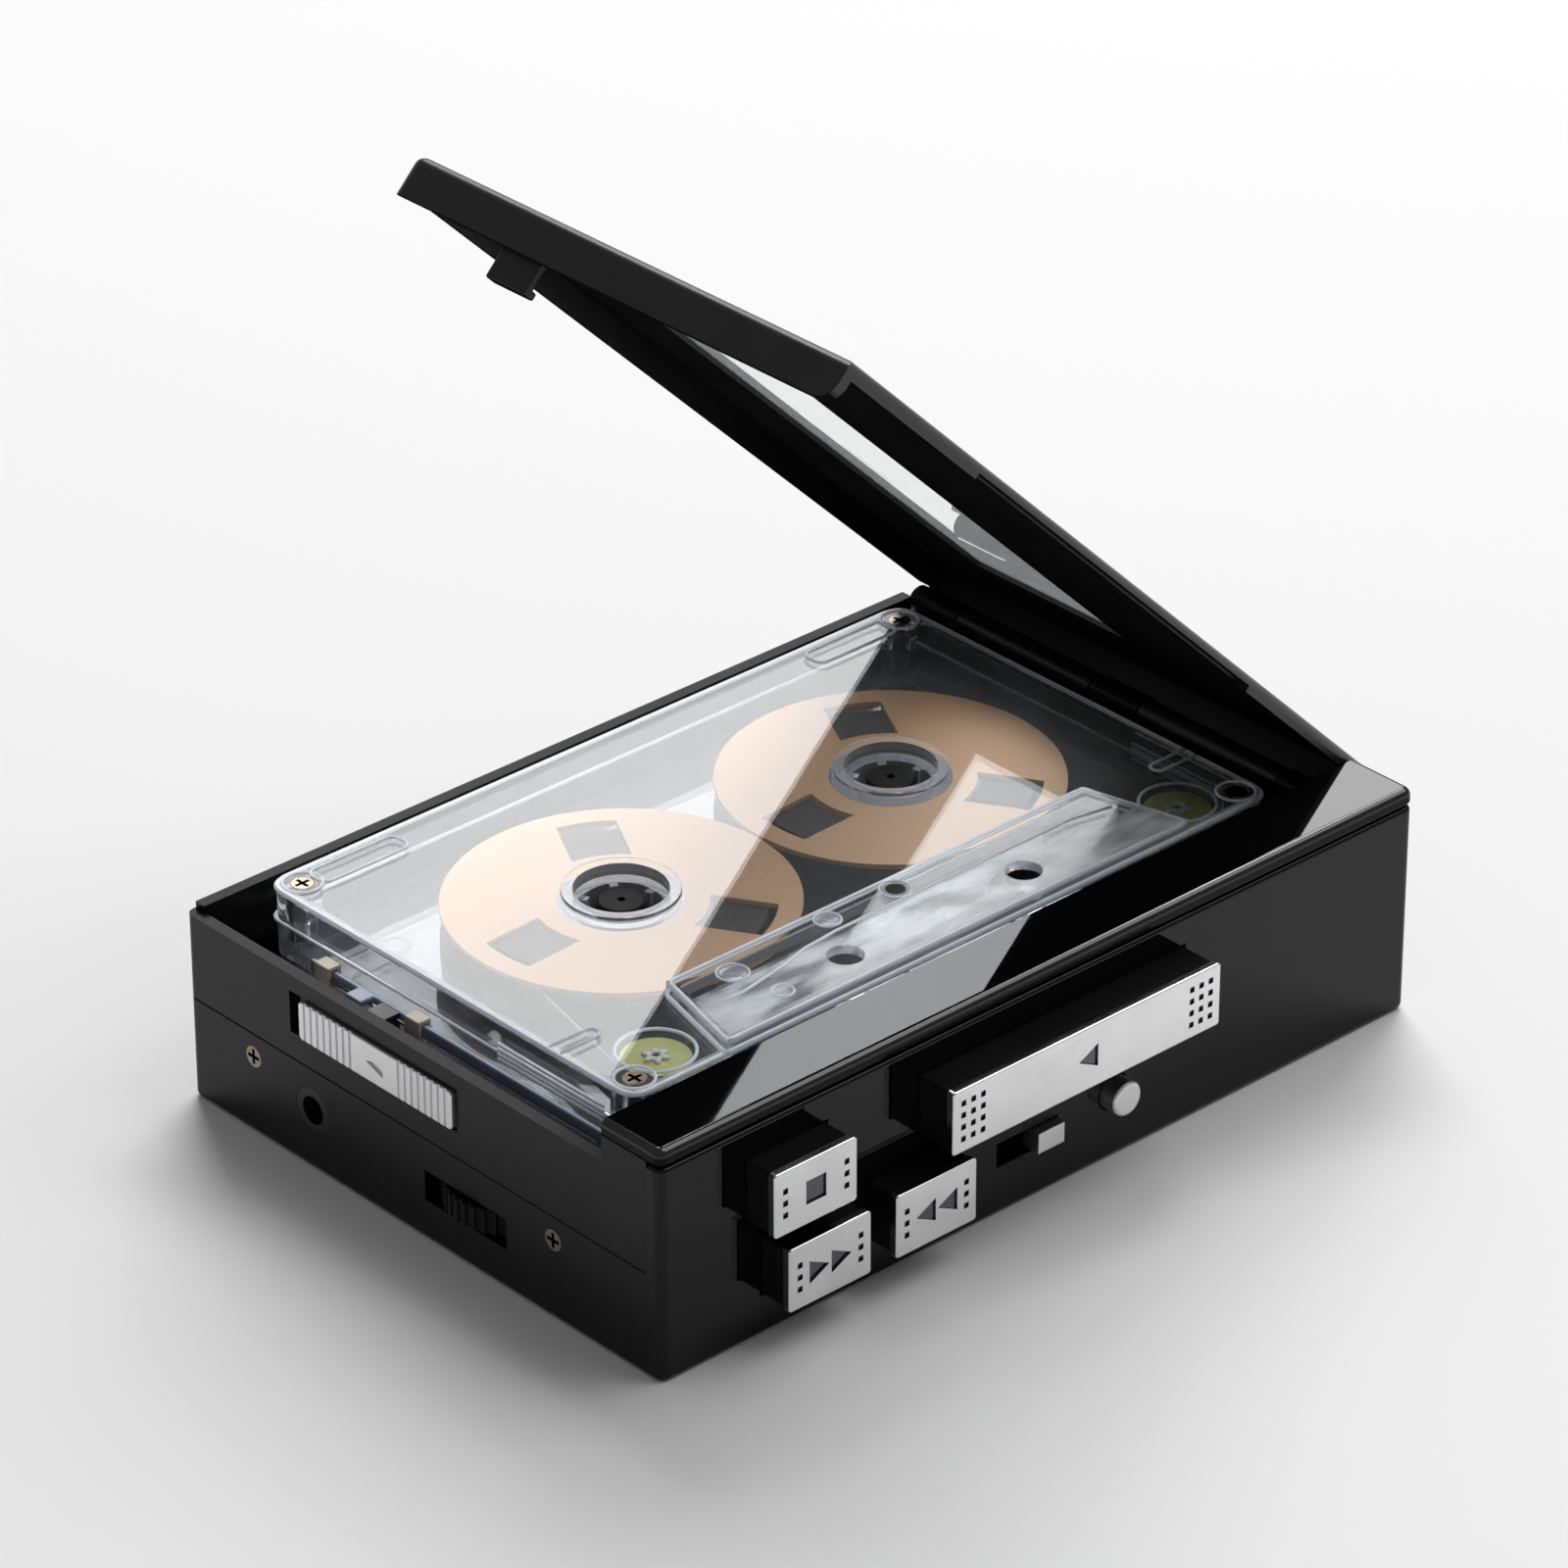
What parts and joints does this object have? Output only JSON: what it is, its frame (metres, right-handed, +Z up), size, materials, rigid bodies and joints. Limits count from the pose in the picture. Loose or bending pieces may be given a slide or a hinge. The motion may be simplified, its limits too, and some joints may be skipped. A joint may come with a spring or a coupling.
{
  "type": "cassette player",
  "caption": "Portable cassette player with a hinged windowed lid standing open, chrome push keys, a side latch slider, thumbwheel, headphone jack and a clear cassette in its well.",
  "frame": {"origin": "on the resting surface, under the middle of the case", "axes": "+X from the latch end to the hinge end, +Y from the keys to the back, +Z up"},
  "size_m": [0.1216, 0.0877, 0.1084],
  "materials": {
    "case_black": "satin",
    "panel_gloss": "gloss",
    "lid_black": "satin outside, gloss inside",
    "clear_window": "gloss",
    "key_black": "satin",
    "cap_chrome": "polished",
    "control_silver": "satin",
    "clear_cassette": "gloss",
    "reel_gold": "satin",
    "hub_clear": "gloss",
    "tape_brown": "gloss",
    "guide_olive": "satin",
    "spindle_black": "satin",
    "deck_grey": "matte",
    "bright_steel": "bright",
    "clip_beige": "satin",
    "rubber_black": "matte",
    "brass_turned": "turned",
    "board_green": "satin",
    "battery_wrap": "satin",
    "felt_pad": "felt"
  },
  "bodies": {
    "base": {"lower_shell": "case_black", "upper_shell": "case_black", "front_panel": "panel_gloss", "front_strip": "panel_gloss", "case_screws": "bright_steel", "deck_plate": "deck_grey", "deck_screws": "bright_steel", "hinge_pin": "bright_steel", "key_springs": "bright_steel", "mode_switch_body": "case_black", "button_switch": "case_black", "headphone_jack": "key_black", "volume_pot": "bright_steel", "circuit_board": "board_green", "charge_socket": "bright_steel", "battery": "battery_wrap", "motor": "bright_steel", "capstan_bearing": "brass_turned", "drive_belt": "rubber_black", "spindle_bushes": "brass_turned", "cassette_upper_shell": "clear_cassette", "cassette_lower_shell": "clear_cassette", "cassette_screws": "bright_steel", "pressure_pad": "felt_pad", "tape_run": "tape_brown"},
    "lid": {"lid_shell": "lid_black", "lid_window": "clear_window", "lid_hook": "lid_black"},
    "stop": {"stop_key": "key_black", "stop_key_cap": "cap_chrome"},
    "rewind": {"rewind_key": "key_black", "rewind_key_cap": "cap_chrome"},
    "forward": {"forward_key": "key_black", "forward_key_cap": "cap_chrome"},
    "play": {"play_key": "key_black", "play_key_cap": "cap_chrome"},
    "head_carriage": {"head_bridge": "bright_steel", "playback_head": "bright_steel"},
    "pinch": {"pinch_roller": "rubber_black"},
    "latch": {"latch_slider": "control_silver", "latch_bar": "bright_steel", "latch_clips": "clip_beige"},
    "volume": {"volume_wheel": "key_black"},
    "mode_switch": {"mode_switch_knob": "control_silver"},
    "button": {"round_button": "control_silver"},
    "motor_drive": {"motor_pulley": "brass_turned"},
    "capstan_drive": {"flywheel": "brass_turned", "capstan": "bright_steel"},
    "idler": {"idler_wheel": "rubber_black"},
    "left_reel": {"left_spindle": "spindle_black", "left_hub": "hub_clear", "left_reel_flanges": "reel_gold", "left_tape_pack": "tape_brown"},
    "right_reel": {"right_spindle": "spindle_black", "right_hub": "hub_clear", "right_reel_flanges": "reel_gold", "right_tape_pack": "tape_brown"},
    "left_guide": {"left_guide_roller": "guide_olive"},
    "right_guide": {"right_guide_roller": "guide_olive"}
  },
  "joints": [
    {"name": "lid_hinge", "type": "hinge", "parent": "base", "child": "lid", "pos_m": [0.0565, 0, 0.0238], "axis": [0, 1, 0], "range_deg": [-44.3, 0], "stiffness_Nm_per_rad": 0.02, "springref_deg": 45.84},
    {"name": "play_push", "type": "slide", "parent": "base", "child": "play", "axis": [0, 1, 0], "range_m": [0, 0.0045], "stiffness_N_per_m": 200, "springref_m": -0.002, "deforming": ["key_springs"]},
    {"name": "stop_push", "type": "slide", "parent": "base", "child": "stop", "axis": [0, 1, 0], "range_m": [0, 0.003], "stiffness_N_per_m": 200, "springref_m": -0.002, "deforming": ["key_springs"]},
    {"name": "rewind_push", "type": "slide", "parent": "base", "child": "rewind", "axis": [0, 1, 0], "range_m": [0, 0.003], "stiffness_N_per_m": 200, "springref_m": -0.002, "deforming": ["key_springs"]},
    {"name": "forward_push", "type": "slide", "parent": "base", "child": "forward", "axis": [0, 1, 0], "range_m": [0, 0.003], "stiffness_N_per_m": 200, "springref_m": -0.002, "deforming": ["key_springs"]},
    {"name": "head_slide", "type": "slide", "parent": "base", "child": "head_carriage", "axis": [0, 1, 0], "range_m": [0, 0.0045]},
    {"name": "pinch_spin", "type": "hinge", "parent": "head_carriage", "child": "pinch", "pos_m": [0.0148, -0.0326, 0.02165], "axis": [0, 0, 1], "continuous": true},
    {"name": "latch_slide", "type": "slide", "parent": "base", "child": "latch", "axis": [0, 1, 0], "range_m": [0, 0.002]},
    {"name": "volume_turn", "type": "hinge", "parent": "base", "child": "volume", "pos_m": [-0.0514, -0.0081, 0.0073], "axis": [0, 0, 1], "range_deg": [-135, 135]},
    {"name": "mode_slide", "type": "slide", "parent": "base", "child": "mode_switch", "axis": [1, 0, 0], "range_m": [-0.005, 0]},
    {"name": "button_push", "type": "slide", "parent": "base", "child": "button", "axis": [0, 1, 0], "range_m": [0, 0.0008], "stiffness_N_per_m": 800, "springref_m": -0.0005},
    {"name": "capstan_spin", "type": "hinge", "parent": "base", "child": "capstan_drive", "pos_m": [0.0148, -0.0219, 0.0045], "axis": [0, 0, 1], "continuous": true},
    {"name": "motor_spin", "type": "hinge", "parent": "base", "child": "motor_drive", "pos_m": [0.0405, -0.0219, 0.0045], "axis": [0, 0, 1], "continuous": true},
    {"name": "idler_spin", "type": "hinge", "parent": "base", "child": "idler", "pos_m": [0.01797, -0.0084, 0.0098], "axis": [0, 0, 1], "continuous": true},
    {"name": "left_reel_spin", "type": "hinge", "parent": "base", "child": "left_reel", "pos_m": [-0.02045, 0.009, 0.02165], "axis": [0, 0, 1], "continuous": true},
    {"name": "right_reel_spin", "type": "hinge", "parent": "base", "child": "right_reel", "pos_m": [0.02205, 0.009, 0.02165], "axis": [0, 0, 1], "continuous": true},
    {"name": "left_guide_spin", "type": "hinge", "parent": "base", "child": "left_guide", "pos_m": [-0.0402, -0.0192, 0.02165], "axis": [0, 0, 1], "continuous": true},
    {"name": "right_guide_spin", "type": "hinge", "parent": "base", "child": "right_guide", "pos_m": [0.0418, -0.0192, 0.02165], "axis": [0, 0, 1], "continuous": true}
  ],
  "couplings": [
    {"joint": "head_slide", "follows": "play_push", "ratio": 1},
    {"joint": "motor_spin", "follows": "capstan_spin", "ratio": 5.2},
    {"joint": "idler_spin", "follows": "capstan_spin", "ratio": -0.58346},
    {"joint": "right_reel_spin", "follows": "left_reel_spin", "ratio": 1},
    {"joint": "left_guide_spin", "follows": "left_reel_spin", "ratio": 4.1463},
    {"joint": "right_guide_spin", "follows": "left_reel_spin", "ratio": 4.1463}
  ]
}
